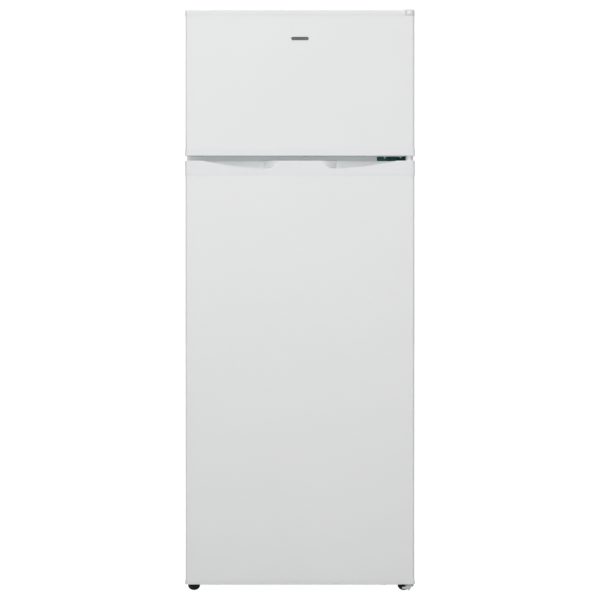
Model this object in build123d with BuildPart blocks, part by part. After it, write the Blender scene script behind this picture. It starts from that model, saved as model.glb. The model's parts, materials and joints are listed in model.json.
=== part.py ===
"""Free-standing top-freezer refrigerator, 550 mm wide and 1400 mm tall, doors hinged on the right.

Row frame: origin on the floor under the middle of the whole appliance, +X to the right as seen
by somebody who stands in front of it, +Y towards the wall behind it, +Z up. Millimetres.
"""

import os

from build123d import *

os.makedirs("parts", exist_ok=True)

# ---------------------------------------------------------------- driving dimensions
CAP_HALF = 275.0  # half width over the plastic door caps: the widest part
PANEL_HALF = 274.0  # half width of a door's steel panel
CAB_HALF = 273.0  # half width of the cabinet
SHEET = 0.8  # painted steel sheet

Y_FRONT = -285.0  # front of the door caps and of the badge
Y_PANEL = -284.5  # front of the steel door panels
Y_PAN = -239.0  # back of panel and caps, front of the door liner's flange
Y_SEAL = -237.0  # back of the door liner's flange, where the gasket sits
Y_CAB = -225.0  # front of the cabinet
Y_BACK = 252.0  # back of the cabinet
Y_REAR = 285.0  # tips of the wall spacers

Z_BASE = 19.5  # underside of the cabinet
Z_TOP = 1386.0  # top of the cabinet
Z_COVER = 1399.5  # top of the hinge cover, the highest point

FR_Z0, FR_Z1 = 22.0, 1036.5  # fridge door
FZ_Z0, FZ_Z1 = 1048.0, 1396.5  # freezer door
FR_CAP_TOP, FR_CAP_BOT = 35.0, 9.0  # visible heights of the end caps
FZ_CAP_TOP, FZ_CAP_BOT = 12.0, 15.0
SPIGOT = 12.0  # depth of a cap's plug inside the steel panel

PIN_X, PIN_Y = 262.5, -271.0  # common hinge axis of both doors
PIN_R, BUSH_R, BUSH_IN = 4.0, 6.0, 4.06
ARM_R, NOSE_R = 10.0, 12.5  # hinge arm's nose, hinge cover's nose
COLLAR_R = 9.0  # bushing collars between the middle hinge and the doors

LINER = 1.2  # vacuum-formed liner
FR_HALF, FR_FLOOR, FR_CEIL, FR_REAR = 227.0, 64.0, 1015.0, 203.0
STEP_Y, STEP_Z = 47.0, 260.0  # step in the fridge liner over the compressor
FZ_HALF, FZ_FLOOR, FZ_CEIL, FZ_REAR = 217.0, 1069.0, 1336.0, 195.0
FLANGE_HALF = 256.0  # liners' front flange meets the steel flange of the shell here
NICHE_Y, NICHE_Z = 85.0, 217.0  # compressor space, open at the back

SHELVES = (440.0, 620.0, 800.0)  # undersides of the glass shelves
CRISPER_LID = 266.0
WIRE_SHELF = 1198.0
GLASS = 4.0

FOOT_R, FOOT_H, STUD_R = 14.5, 13.5, 4.0
FOOT_L, FOOT_RIGHT = (-257.0, -208.0), (251.5, -208.0)
ROLLER_R, ROLLER_W, ROLLER_X, ROLLER_Y = 12.0, 18.0, 238.0, 230.0

CX, CY = -40.0, 176.0  # compressor axis


# ---------------------------------------------------------------- helpers
def slab(x0, x1, y0, y1, z0, z1, r=0.0, mode=Mode.ADD):
    """Block drawn in front view, x0..x1 by z0..z1, reaching from y0 back to y1."""
    with BuildSketch(Plane.XZ.offset(-y1)) as face:
        with Locations(((x0 + x1) / 2, (z0 + z1) / 2)):
            if r:
                RectangleRounded(x1 - x0, z1 - z0, r)
            else:
                Rectangle(x1 - x0, z1 - z0)
    extrude(face.sketch, amount=y1 - y0, mode=mode)


def plate(x0, x1, y0, y1, z0, z1, r=0.0, mode=Mode.ADD):
    """Block drawn in plan, x0..x1 by y0..y1, standing from z0 up to z1."""
    with BuildSketch(Plane.XY.offset(z0)) as plan:
        with Locations(((x0 + x1) / 2, (y0 + y1) / 2)):
            if r:
                RectangleRounded(x1 - x0, y1 - y0, r)
            else:
                Rectangle(x1 - x0, y1 - y0)
    extrude(plan.sketch, amount=z1 - z0, mode=mode)


def post(x, y, z0, z1, r, mode=Mode.ADD):
    """Upright cylinder."""
    with BuildSketch(Plane.XY.offset(z0)) as disc:
        with Locations((x, y)):
            Circle(r)
    extrude(disc.sketch, amount=z1 - z0, mode=mode)


def rod(p0, p1, r, mode=Mode.ADD):
    """Round bar between two points."""
    run = Vector(*p1) - Vector(*p0)
    with BuildSketch(Plane(origin=p0, z_dir=run)) as end:
        Circle(r)
    extrude(end.sketch, amount=run.length, mode=mode)


def ring(x_out, z0, z1, width, r_out, y0, y1, mode=Mode.ADD, r_in=None):
    """Rectangular frame drawn in front view, centred on x = 0, of one width all round."""
    with BuildSketch(Plane.XZ.offset(-y1)) as face:
        with Locations((0, (z0 + z1) / 2)):
            RectangleRounded(2 * x_out, z1 - z0, r_out)
            RectangleRounded(
                2 * (x_out - width),
                z1 - z0 - 2 * width,
                r_in or max(r_out - width, 1.0),
                mode=Mode.SUBTRACT,
            )
    extrude(face.sketch, amount=y1 - y0, mode=mode)


def door_block(half, y0, y1, z0, z1, r, mode=Mode.ADD):
    """Door section: its two front upright corners are rounded by r."""
    with BuildSketch(Plane.XY.offset(z0)) as plan:
        with Locations((0, (y0 + y1) / 2)):
            Rectangle(2 * half, y1 - y0)
        fillet(plan.vertices().group_by(Axis.Y)[0], r)
    extrude(plan.sketch, amount=z1 - z0, mode=mode)


def hinge_arm(z0, z1, y_root, mode=Mode.ADD, r=ARM_R):
    """Arm that reaches forwards from y_root and ends in a round nose about the door axis."""
    with BuildSketch(Plane.XY.offset(z0)) as plan:
        with Locations((PIN_X, (PIN_Y + y_root) / 2)):
            Rectangle(2 * r, y_root - PIN_Y)
        with Locations((PIN_X, PIN_Y)):
            Circle(r)
    extrude(plan.sketch, amount=z1 - z0, mode=mode)


def cavity(points, radii, half, t):
    """Inside of a compartment, grown outwards by t, with soft edges everywhere but at the mouth."""
    with BuildPart() as space:
        with BuildSketch(Plane.YZ.offset(-half - t)) as outline:
            with BuildLine():
                Polyline(*points, close=True)
            make_face()
            for (y, z), radius in radii:
                fillet(outline.vertices().sort_by_distance((y, z))[0], radius)
        extrude(amount=2 * (half + t))
        side_edges = space.edges().filter_by(
            lambda e: abs(abs(e.center().X) - (half + t)) < 0.01 and e.center().Y > Y_CAB + 1
        )
        fillet(side_edges, 12.0 + t)
    return space.part


def fridge_space(t):
    pts = [
        (Y_CAB, FR_FLOOR - t),
        (STEP_Y + t, FR_FLOOR - t),
        (STEP_Y + t, STEP_Z - t),
        (FR_REAR + t, STEP_Z - t),
        (FR_REAR + t, FR_CEIL + t),
        (Y_CAB, FR_CEIL + t),
    ]
    radii = [(pts[1], 6.0 + t), (pts[2], 16.0 - t), (pts[3], 6.0 + t), (pts[4], 16.0 + t)]
    return cavity(pts, radii, FR_HALF, t)


def freezer_space(t):
    pts = [
        (Y_CAB, FZ_FLOOR - t),
        (FZ_REAR + t, FZ_FLOOR - t),
        (FZ_REAR + t, FZ_CEIL + t),
        (Y_CAB, FZ_CEIL + t),
    ]
    return cavity(pts, [(pts[1], 16.0 + t), (pts[2], 16.0 + t)], FZ_HALF, t)


def tray(x0, x1, y0, y1, z0, z1, wall, r):
    """Open-topped box with upright corners rounded by r."""
    plate(x0, x1, y0, y1, z0, z1, r)
    plate(x0 + wall, x1 - wall, y0 + wall, y1 - wall, z0 + wall, z1 + 1, r - wall, Mode.SUBTRACT)


def save(part, name):
    part.label = name
    export_step(part, f"parts/{name}.step")


# ================================================================ CABINET
with BuildPart() as outer_shell:  # one sheet folded over both sides and the top
    with BuildSketch(Plane.XZ.offset(-Y_BACK)) as wrap:
        with Locations((0, (Z_BASE + Z_TOP) / 2)):
            Rectangle(2 * CAB_HALF, Z_TOP - Z_BASE)
        fillet(wrap.vertices().group_by(Axis.Z)[-1], 6.0)
    extrude(amount=Y_BACK - Y_CAB)
    with BuildSketch(Plane.XZ.offset(-Y_BACK)) as hollow:
        with Locations((0, (Z_BASE - 5 + Z_TOP - SHEET) / 2)):
            Rectangle(2 * (CAB_HALF - SHEET), Z_TOP - SHEET - Z_BASE + 5)
        fillet(hollow.vertices().group_by(Axis.Z)[-1], 6.0 - SHEET)
    extrude(amount=Y_BACK - Y_CAB - SHEET, mode=Mode.SUBTRACT)
    slab(-FLANGE_HALF, FLANGE_HALF, Y_CAB - 1, Y_CAB + 2, Z_BASE - 5, 1370.0, mode=Mode.SUBTRACT)
save(outer_shell.part, "outer_shell")

fridge_inside = fridge_space(0.0)
fridge_outside = fridge_space(LINER)
freezer_inside = freezer_space(0.0)
freezer_outside = freezer_space(LINER)
freezer_wrap = freezer_space(2 * LINER)

DRAIN = (CX, 190.0)

with BuildPart() as fridge_hollow:  # the compartment's air, less the ledges that carry the shelves
    add(fridge_inside)
    for z in (*SHELVES, CRISPER_LID):
        for s in (-1, 1):
            x0, x1 = sorted((s * (FR_HALF - 7.0), s * (FR_HALF + 5.0)))
            slab(x0, x1, -150.0, 184.0, z - 7.0, z, mode=Mode.SUBTRACT)

with BuildPart() as fridge_liner:
    add(fridge_outside)
    slab(-FLANGE_HALF, FLANGE_HALF, Y_CAB, Y_CAB + LINER, 42.0, FR_CEIL + LINER)
    add(fridge_hollow.part, mode=Mode.SUBTRACT)
    post(*DRAIN, STEP_Z - 5, STEP_Z + 5, 4.5, Mode.SUBTRACT)
save(fridge_liner.part, "fridge_liner")

with BuildPart() as freezer_hollow:
    add(freezer_inside)
    for s in (-1, 1):
        x0, x1 = sorted((s * (FZ_HALF - 7.0), s * (FZ_HALF + 5.0)))
        slab(x0, x1, -190.0, 178.0, WIRE_SHELF - 9.0, WIRE_SHELF - 2.6, mode=Mode.SUBTRACT)

with BuildPart() as freezer_liner:
    add(freezer_outside)
    slab(-FLANGE_HALF, FLANGE_HALF, Y_CAB, Y_CAB + LINER, FZ_FLOOR - LINER, 1370.0)
    add(freezer_hollow.part, mode=Mode.SUBTRACT)
save(freezer_liner.part, "freezer_liner")

with BuildPart() as freezer_evaporator:  # aluminium wrap round the freezer liner
    add(freezer_wrap)
    slab(-300, 300, -150.0, 150.0, 1000, 1380, mode=Mode.INTERSECT)
    add(freezer_outside, mode=Mode.SUBTRACT)
save(freezer_evaporator.part, "freezer_evaporator")

with BuildPart() as fridge_evaporator:  # cold plate behind the fridge liner's back wall
    slab(-150, 150, FR_REAR + LINER, FR_REAR + LINER + 2.0, 520, 900, 8)
save(fridge_evaporator.part, "fridge_evaporator")

with BuildPart() as centre_rail:  # steel strip across the front between the two compartments
    slab(-FLANGE_HALF, FLANGE_HALF, Y_CAB, Y_CAB + LINER, FR_CEIL + LINER, FZ_FLOOR - LINER)
save(centre_rail.part, "centre_rail")

with BuildPart() as base_pan:  # cabinet floor with a front lip and two weld nuts for the feet
    plate(-CAB_HALF + SHEET, CAB_HALF - SHEET, Y_CAB + LINER, NICHE_Y, Z_BASE, Z_BASE + LINER)
    slab(-FLANGE_HALF, FLANGE_HALF, Y_CAB, Y_CAB + LINER, Z_BASE, 42.0)
    for x, y in (FOOT_L, FOOT_RIGHT):
        post(x, y, Z_BASE, 40.0, 9.0)
        post(x, y, Z_BASE - 1, 41.0, STUD_R + 0.06, Mode.SUBTRACT)
save(base_pan.part, "base_pan")

with BuildPart() as compressor_niche_panel:  # sheet that lines the compressor space
    plate(-CAB_HALF + SHEET, CAB_HALF - SHEET, NICHE_Y, NICHE_Y + 1, Z_BASE, NICHE_Z)
    plate(-CAB_HALF + SHEET, CAB_HALF - SHEET, NICHE_Y, Y_BACK, NICHE_Z - 1, NICHE_Z)
    post(*DRAIN, NICHE_Z - 3, NICHE_Z + 3, 6.0, Mode.SUBTRACT)
save(compressor_niche_panel.part, "compressor_niche_panel")

with BuildPart() as back_panel:
    slab(-CAB_HALF + SHEET, CAB_HALF - SHEET, Y_BACK - SHEET, Y_BACK, NICHE_Z, Z_TOP - SHEET - 5.0)
save(back_panel.part, "back_panel")

with BuildPart() as insulation_foam:  # foam block between the shell and the liners
    with BuildSketch(Plane.XZ.offset(-(Y_BACK - SHEET))) as block:
        with Locations((0, (Z_BASE + LINER + Z_TOP - SHEET) / 2)):
            Rectangle(2 * (CAB_HALF - SHEET), Z_TOP - SHEET - Z_BASE - LINER)
        fillet(block.vertices().group_by(Axis.Z)[-1], 6.0 - SHEET)
    extrude(amount=Y_BACK - SHEET - Y_CAB - LINER)
    add(fridge_outside, mode=Mode.SUBTRACT)
    add(freezer_outside, mode=Mode.SUBTRACT)
    add(freezer_evaporator.part, mode=Mode.SUBTRACT)
    slab(-150, 150, FR_REAR, FR_REAR + LINER + 2.0, 520, 900, 8, Mode.SUBTRACT)
    slab(-300, 300, NICHE_Y, Y_BACK + 1, 0, NICHE_Z, mode=Mode.SUBTRACT)
    post(*DRAIN, NICHE_Z - 5, STEP_Z, 6.0, Mode.SUBTRACT)
    for x, y in (FOOT_L, FOOT_RIGHT):
        post(x, y, Z_BASE, 50.0, 9.0, Mode.SUBTRACT)
save(insulation_foam.part, "insulation_foam")

# ---------------------------------------------------------------- hinges
with BuildPart() as top_hinge:
    plate(204, 270, -223.0, -164.0, Z_TOP, Z_TOP + 3, 5)
    hinge_arm(Z_TOP, Z_TOP + 3, -222.0)
    post(PIN_X, PIN_Y, FZ_Z1 - 30, Z_TOP, PIN_R)
    post(PIN_X, PIN_Y, Z_TOP, Z_TOP + 6, 6.0)
    for x in (218, 250):
        post(x, -186, Z_TOP - 1, Z_TOP + 4, 2.6, Mode.SUBTRACT)
save(top_hinge.part, "top_hinge")

with BuildPart() as top_hinge_cover:  # moulded cap over the top hinge, its nose fills the door's corner
    plate(200, CAB_HALF, -225.0, -158.0, Z_TOP, Z_COVER, 8)
    hinge_arm(Z_TOP - 0.5, Z_COVER, -224.0, r=NOSE_R)
    plate(240, 276, -225.0, -200.0, Z_TOP - 2, Z_TOP, mode=Mode.SUBTRACT)
    fillet(top_hinge_cover.faces().sort_by(Axis.Z)[-1].outer_wire().edges(), 5.5)
    plate(202, CAB_HALF - 2, -223.0, -160.0, Z_TOP - 1, Z_COVER - 3.2, 6, Mode.SUBTRACT)
    hinge_arm(Z_TOP - 2, Z_COVER - 3.2, -220.0, Mode.SUBTRACT, r=NOSE_R - 1.8)
save(top_hinge_cover.part, "top_hinge_cover")

MID_Z = (FR_Z1 + FZ_Z0) / 2
MID_R, MID_T = 7.5, 2.6  # nose and thickness of the middle hinge
with BuildPart() as middle_hinge:
    with BuildSketch(Plane.XZ.offset(-Y_CAB)) as flange:  # plate on the cabinet, notched in its upper edge
        with Locations(((186 + 256) / 2, MID_Z)):
            RectangleRounded(70, 14.4, 2.0)
        for x in (204.8, 243.0):
            with BuildLine():
                Polyline((x - 4, MID_Z + 8), (x, MID_Z + 1.6), (x + 4, MID_Z + 8), close=True)
            make_face(mode=Mode.SUBTRACT)
    extrude(flange.sketch, amount=2.5)
    hinge_arm(MID_Z - MID_T / 2, MID_Z + MID_T / 2, Y_CAB, r=MID_R)
    with BuildSketch(Plane.XY.offset(MID_Z - MID_T / 2)) as web:  # the arm widens towards the cabinet
        with BuildLine():
            Polyline((233, Y_CAB), (233, Y_CAB - 14), (256, Y_CAB - 40), (PIN_X, Y_CAB - 40), (PIN_X, Y_CAB), close=True)
        make_face()
    extrude(web.sketch, amount=MID_T)
    post(PIN_X, PIN_Y, FR_Z1 - 18, MID_Z - MID_T / 2, PIN_R)
    post(PIN_X, PIN_Y, MID_Z + MID_T / 2, FZ_Z0 + 16, PIN_R)
    for x in (193, 226):
        with BuildSketch(Plane.XZ.offset(-Y_CAB)) as bolt_hole:
            with Locations((x, MID_Z)):
                Circle(2.6)
        extrude(bolt_hole.sketch, amount=4, mode=Mode.SUBTRACT)
save(middle_hinge.part, "middle_hinge")

with BuildPart() as hinge_nose_cap:  # plastic clip round the nose of the middle hinge
    post(PIN_X, PIN_Y, MID_Z - MID_T / 2, MID_Z + MID_T / 2, COLLAR_R)
    post(PIN_X, PIN_Y, MID_Z - 5, MID_Z + 5, MID_R + 0.05, Mode.SUBTRACT)
    plate(PIN_X - 20, PIN_X + 20, PIN_Y + 0.7, PIN_Y + 30, MID_Z - 5, MID_Z + 5, mode=Mode.SUBTRACT)
save(hinge_nose_cap.part, "hinge_nose_cap")

with BuildPart() as bottom_hinge:  # bracket under the floor, its pin ends in a point close to the ground
    plate(186, 271, -224.0, -150.0, Z_BASE - 3, Z_BASE, 4)
    hinge_arm(Z_BASE - 3, Z_BASE, -215.0)
    post(PIN_X, PIN_Y, Z_BASE, FR_Z0 + 18, PIN_R)
    post(PIN_X, PIN_Y, Z_BASE, FR_Z0 - 0.5, 7.0)
    with BuildSketch(Plane.XZ.offset(277.0)) as lip:  # front lip, folded down to a point
        with BuildLine():
            Polyline(
                (254.3, Z_BASE),
                (254.3, 16.8),
                (245.4, 15.6),
                (243.8, 11.4),
                (252.8, 10.4),
                (256.6, 12.2),
                (259.3, 7.4),
                (261.3, 7.4),
                (266.8, 15.4),
                (266.8, Z_BASE),
                close=True,
            )
        make_face()
    extrude(lip.sketch, amount=2.5)
    post(*FOOT_RIGHT, Z_BASE - 4, Z_BASE + 1, STUD_R + 0.06, Mode.SUBTRACT)
    for x, y in ((205, -206), (205, -166)):
        post(x, y, Z_BASE - 4, Z_BASE + 1, 2.6, Mode.SUBTRACT)
save(bottom_hinge.part, "bottom_hinge")


def hex_screw(origin, direction, shank, head_r=5.0, shank_r=2.5):
    """Screw with a flanged hex head: origin is on the face that the flange rests on, direction points out of the head."""
    out = Vector(*direction)
    start = Vector(*origin) - out * shank
    rod(tuple(start), origin, shank_r)
    rod(origin, tuple(Vector(*origin) + out * 1.0), head_r + 1.2)
    with BuildSketch(Plane(origin=tuple(Vector(*origin) + out * 1.0), z_dir=out)) as head:
        RegularPolygon(head_r, 6)
    extrude(head.sketch, amount=3.0)


BOLTS = [(CX + sx * 82, CY + sy * 42) for sx in (-1, 1) for sy in (-1, 1)]
with BuildPart() as cabinet_screws:  # hinge screws and the four compressor bolts
    for x in (218, 250):
        hex_screw((x, -186, Z_TOP + 3), (0, 0, 1), 3.0)
    for x in (193, 226):
        hex_screw((x, Y_CAB - 2.5, MID_Z), (0, -1, 0), 2.5, 4.4)
    for x, y in ((205, -206), (205, -166)):
        hex_screw((x, y, Z_BASE - 3), (0, 0, -1), 3.0)
    for x, y in BOLTS:
        hex_screw((x, y, 42.2), (0, 0, 1), 14.0, 5.0, 3.0)
save(cabinet_screws.part, "cabinet_screws")

# ---------------------------------------------------------------- compressor space
with BuildPart() as compressor_base:  # cross-member that carries the compressor and the rollers
    plate(-CAB_HALF + SHEET, CAB_HALF - SHEET, 100.0, 250.0, 26.0, 28.0)
    plate(-CAB_HALF + SHEET, CAB_HALF - SHEET, 100.0, 102.0, 16.0, 26.0)
    plate(-CAB_HALF + SHEET, CAB_HALF - SHEET, 248.0, 250.0, 16.0, 26.0)
    for s in (-1, 1):
        for off in (-12.0, 10.0):
            x = s * ROLLER_X + off
            slab(x, x + 2, ROLLER_Y - 9, ROLLER_Y + 9, 5.0, 26.5)
        rod((s * ROLLER_X - 13, ROLLER_Y, ROLLER_R), (s * ROLLER_X + 13, ROLLER_Y, ROLLER_R), 2.5)
    slab(150, 190, 246.0, 248.0, 27.0, 60.0)  # tab for the cord gland
    rod((170, 245, 45), (170, 249, 45), 6.0, Mode.SUBTRACT)
    for x, y in BOLTS:
        post(x, y, 25, 29, 3.06, Mode.SUBTRACT)
save(compressor_base.part, "compressor_base")

with BuildPart() as mains_cord_gland:
    rod((170, 243.5, 45), (170, 246, 45), 9.0)
    rod((170, 246, 45), (170, 248, 45), 6.0)
    rod((170, 248, 45), (170, 253, 45), 8.5)
    rod((170, 240, 45), (170, 256, 45), 3.6, Mode.SUBTRACT)
save(mains_cord_gland.part, "mains_cord_gland")

with BuildPart() as compressor:  # hermetic can with its welded foot plate
    with BuildSketch(Plane.XZ) as can:
        with BuildLine():
            base = Line((0, 42), (56, 42))
            low = ThreePointArc((56, 42), (67.5, 47), (72, 58))
            wall = Line((72, 58), (72, 103))
            lip = Polyline((72, 103), (75.5, 103), (75.5, 108), (71, 108), (70, 126))
            dome = Spline((70, 126), (62, 157), (34, 175), (0, 178), tangents=((-0.05, 1), (-1, 0)))
            Line((0, 178), (0, 42))
        make_face()
    can_solid = revolve(can.sketch, axis=Axis.Z, mode=Mode.PRIVATE)
    with Locations((CX, CY, 0)):
        add(can_solid)
    plate(CX - 100, CX + 100, CY - 56, CY + 56, 39.0, 42.2, 14)
    for x, y in BOLTS:
        post(x, y, 38, 43, 3.06, Mode.SUBTRACT)
save(compressor.part, "compressor")

with BuildPart() as compressor_grommets:
    for x, y in BOLTS:
        post(x, y, 28.0, 39.0, 10.0)
        post(x, y, 31.0, 36.0, 13.0)
        post(x, y, 27.0, 40.0, 3.06, Mode.SUBTRACT)
save(compressor_grommets.part, "compressor_grommets")

with BuildPart() as start_relay_cover:
    slab(CX + 76.5, CX + 112, CY - 26, CY + 26, 56, 116, 6)
    fillet(start_relay_cover.faces().sort_by(Axis.X)[-1].edges(), 3)
save(start_relay_cover.part, "start_relay_cover")

with BuildPart() as drip_tray:  # evaporation dish on top of the compressor
    tray(CX - 74, CX + 74, CY - 64, CY + 66, 178.4, 206.0, 2.0, 14.0)
save(drip_tray.part, "drip_tray")

with BuildPart() as drain_tube:
    post(*DRAIN, 192.0, STEP_Z - LINER, 6.0)
    post(*DRAIN, 191.0, STEP_Z, 4.5, Mode.SUBTRACT)
save(drain_tube.part, "drain_tube")

COIL_Y, TUBE_R, PITCH, PASSES, RUN = 270.0, 2.4, 60.0, 16, 212.0
COIL_Z0 = 340.0
COIL_Z1 = COIL_Z0 + PITCH * (PASSES - 1)
with BuildPart() as condenser_coil:  # serpentine tube on the back
    with BuildLine(Plane.XZ.offset(-COIL_Y)) as serpentine:
        for i in range(PASSES):
            z, s = COIL_Z0 + PITCH * i, (1 if i % 2 == 0 else -1)
            Line((-s * RUN, z), (s * RUN, z))
            if i < PASSES - 1:
                ThreePointArc((s * RUN, z), (s * (RUN + PITCH / 2), z + PITCH / 2), (s * RUN, z + PITCH))
    with BuildSketch(Plane(origin=(-RUN, COIL_Y, COIL_Z0), z_dir=(1, 0, 0))):
        Circle(TUBE_R)
    sweep()
save(condenser_coil.part, "condenser_coil")

with BuildPart() as condenser_wires:  # fins of the condenser: thin rods welded over the coil, both faces
    for dy in (-3.25, 3.25):
        with BuildSketch(Plane.XY.offset(COIL_Z0 - 18)) as rods:
            with Locations(*[(x * 10.0, COIL_Y + dy) for x in range(-19, 20)]):
                Circle(0.8)
        extrude(rods.sketch, amount=COIL_Z1 - COIL_Z0 + 36)
save(condenser_wires.part, "condenser_wires")

with BuildPart() as condenser_brackets:  # four spacers that hold the coil and keep the cabinet off the wall
    for s in (-1, 1):
        for z in (COIL_Z0 + 2 * PITCH, COIL_Z1 - 2 * PITCH):
            x0, x1 = sorted((s * 198.0, s * 210.0))
            slab(x0, x1, Y_BACK, Y_REAR, z - 13, z + 13, 3)
            rod((s * 190, COIL_Y, z), (s * 215, COIL_Y, z), TUBE_R + 0.05, Mode.SUBTRACT)
save(condenser_brackets.part, "condenser_brackets")

PIPES = (
    (  # discharge line, from the compressor up the left side to the top of the coil
        [
            (CX - 70.9, CY, 120),
            (-150, CY, 120),
            (-150, COIL_Y, 120),
            (-258, COIL_Y, 120),
            (-258, COIL_Y, COIL_Z1),
            (-RUN, COIL_Y, COIL_Z1),
        ],
        12.0,
        TUBE_R,
    ),
    (  # liquid line, from the bottom of the coil to the filter drier
        [
            (-RUN, COIL_Y, COIL_Z0),
            (-236, COIL_Y, COIL_Z0),
            (-236, COIL_Y, 204),
            (-236, 235, 204),
            (-236, 235, 189),
        ],
        9.0,
        TUBE_R,
    ),
    ([(-236, 235, 106), (-236, 235, 80), (-214, 235, 80), (-214, 235, 215.9)], 8.0, 1.2),  # capillary
    ([(62, 206, 215.9), (62, 206, 140), (62, CY, 140), (CX + 69.4, CY, 140)], 12.0, 3.4),  # suction line
)
with BuildPart() as refrigerant_pipes:  # copper lines and the filter drier between them
    for route, bend, radius in PIPES:
        with BuildLine() as line:
            FilletPolyline(*route, radius=bend)
        with BuildSketch(Plane(origin=route[0], z_dir=Vector(*route[1]) - Vector(*route[0]))) as section:
            Circle(radius)
        sweep(section.sketch, path=line.wires()[0])
    with BuildSketch(Plane.XZ.offset(-235)) as drier:
        with BuildLine():
            Polyline(
                (-236, 106), (-232.5, 106), (-227, 116), (-227, 178), (-232.5, 189), (-236, 189), close=True
            )
        make_face()
    revolve(drier.sketch, axis=Axis((-236, 235, 0), (0, 0, 1)))
save(refrigerant_pipes.part, "refrigerant_pipes")

# ---------------------------------------------------------------- inside the fridge compartment
with BuildPart() as shelf_glass:  # three shelves and the crisper's lid
    for z in (*SHELVES, CRISPER_LID):
        plate(-223.5, 223.5, -128.0, 192.0, z, z + GLASS, 3)
save(shelf_glass.part, "shelf_glass")

with BuildPart() as shelf_trims:  # extruded edging on the front and back of each glass
    for z in (*SHELVES, CRISPER_LID):
        for y0, y1, half in ((-140.0, -127.9, 223.5), (191.9, 199.0, 212.0)):
            with BuildSketch(Plane.YZ.offset(-half)) as bead:
                with Locations(((y0 + y1) / 2, z + 3.0)):
                    RectangleRounded(y1 - y0, 12.0, 2.5)
            extrude(bead.sketch, amount=2 * half)
    for z in (*SHELVES, CRISPER_LID):  # the glass sits in the edging
        plate(-223.5, 223.5, -128.0, 192.0, z, z + GLASS, 3, Mode.SUBTRACT)
    for z in (*SHELVES, CRISPER_LID):  # notches over the liner's ledges
        for s in (-1, 1):
            x0, x1 = sorted((s * 219.6, s * 230.0))
            slab(x0, x1, -150.0, 184.5, z - 8.0, z, mode=Mode.SUBTRACT)
save(shelf_trims.part, "shelf_trims")

THERMO_Y0, THERMO_Y1, THERMO_Z = -172.0, -60.0, 962.0
KNOB_X, KNOB_Z = -50.0, 986.0
SWITCH_X, SWITCH_Z = 110.0, 997.0
with BuildPart() as thermostat_housing:  # ceiling box for the thermostat, the lamp and the door switch
    slab(-95, 95, THERMO_Y0, THERMO_Y1, THERMO_Z, FR_CEIL)
    fillet(thermostat_housing.faces().sort_by(Axis.Z)[0].edges(), 4.0)
    slab(-93, 93, THERMO_Y0 + 2, THERMO_Y1 - 2, THERMO_Z + 2, FR_CEIL + 1, mode=Mode.SUBTRACT)
    slab(95, 125, -196.0, -160.0, SWITCH_Z - 11, FR_CEIL)
    slab(93.5, 97, -171.0, -160.0, SWITCH_Z - 11, FR_CEIL)
    rod((SWITCH_X, -197, SWITCH_Z), (SWITCH_X, -166, SWITCH_Z), 4.3, Mode.SUBTRACT)
    rod((KNOB_X, -180, KNOB_Z), (KNOB_X, -165, KNOB_Z), 4.5, Mode.SUBTRACT)
    plate(-8, 82, -160, -76, THERMO_Z - 1, THERMO_Z + 3, 6, Mode.SUBTRACT)
save(thermostat_housing.part, "thermostat_housing")

with BuildPart() as thermostat:
    slab(KNOB_X - 20, KNOB_X + 20, -150.0, -112.0, 967.0, 1006.0, 2)
    rod((KNOB_X, -186, KNOB_Z), (KNOB_X, -150, KNOB_Z), 3.0)
save(thermostat.part, "thermostat")

with BuildPart() as lamp_lens:
    plate(-7.8, 81.8, -159.8, -76.2, THERMO_Z, THERMO_Z + 2, 5.8)
    plate(-10.5, 84.5, -162.5, -73.5, THERMO_Z + 2, THERMO_Z + 3.2, 7)
save(lamp_lens.part, "lamp_lens")

with BuildPart() as lamp_bulb:
    with BuildSketch(Plane.XZ.offset(118)) as glow:
        with BuildLine():
            Polyline((66, 990), (66, 997.5), (44, 997.5), (44, 990), close=True)
        make_face()
        with Locations((27, 990)):
            Circle(13)
        with BuildLine():
            Polyline((44, 990), (44, 997), (36, 999.5), (30, 990), close=True)
        make_face()
        with Locations((27, 990 - 20)):
            Rectangle(200, 40, mode=Mode.SUBTRACT)
    revolve(glow.sketch, axis=Axis((0, -118, 990), (1, 0, 0)))
save(lamp_bulb.part, "lamp_bulb")

with BuildPart() as thermostat_knob:
    rod((KNOB_X, -174.0, KNOB_Z), (KNOB_X, -186.0, KNOB_Z), 17.0)
    chamfer(thermostat_knob.faces().sort_by(Axis.Y)[0].edges(), 2.0)
    slab(KNOB_X - 3.5, KNOB_X + 3.5, -190.0, -185.0, KNOB_Z - 15, KNOB_Z + 15, 2.5)
    rod((KNOB_X, -173.0, KNOB_Z), (KNOB_X, -186.3, KNOB_Z), 3.05, Mode.SUBTRACT)
save(thermostat_knob.part, "thermostat_knob")

with BuildPart() as door_switch_plunger:
    rod((SWITCH_X, -204.7, SWITCH_Z), (SWITCH_X, -176.0, SWITCH_Z), 4.1)
    fillet(door_switch_plunger.faces().sort_by(Axis.Y)[0].edges(), 1.6)
save(door_switch_plunger.part, "door_switch_plunger")

with BuildPart() as crisper_drawer:
    tray(-200, 200, -146.0, 40.0, 65.0, 254.0, 2.6, 18.0)
    slab(-208, 208, -152.0, -142.0, 66.0, 258.0, 10)
    fillet(crisper_drawer.faces().sort_by(Axis.Y)[0].edges(), 2.5)
    with BuildSketch(Plane.YZ.offset(-80)) as lip:  # pull lip along the top of the front
        with BuildLine():
            Polyline((-151, 242), (-155.2, 240), (-157, 242), (-157, 248), (-151, 253), close=True)
        make_face()
    extrude(lip.sketch, amount=160)
save(crisper_drawer.part, "crisper_drawer")

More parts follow.
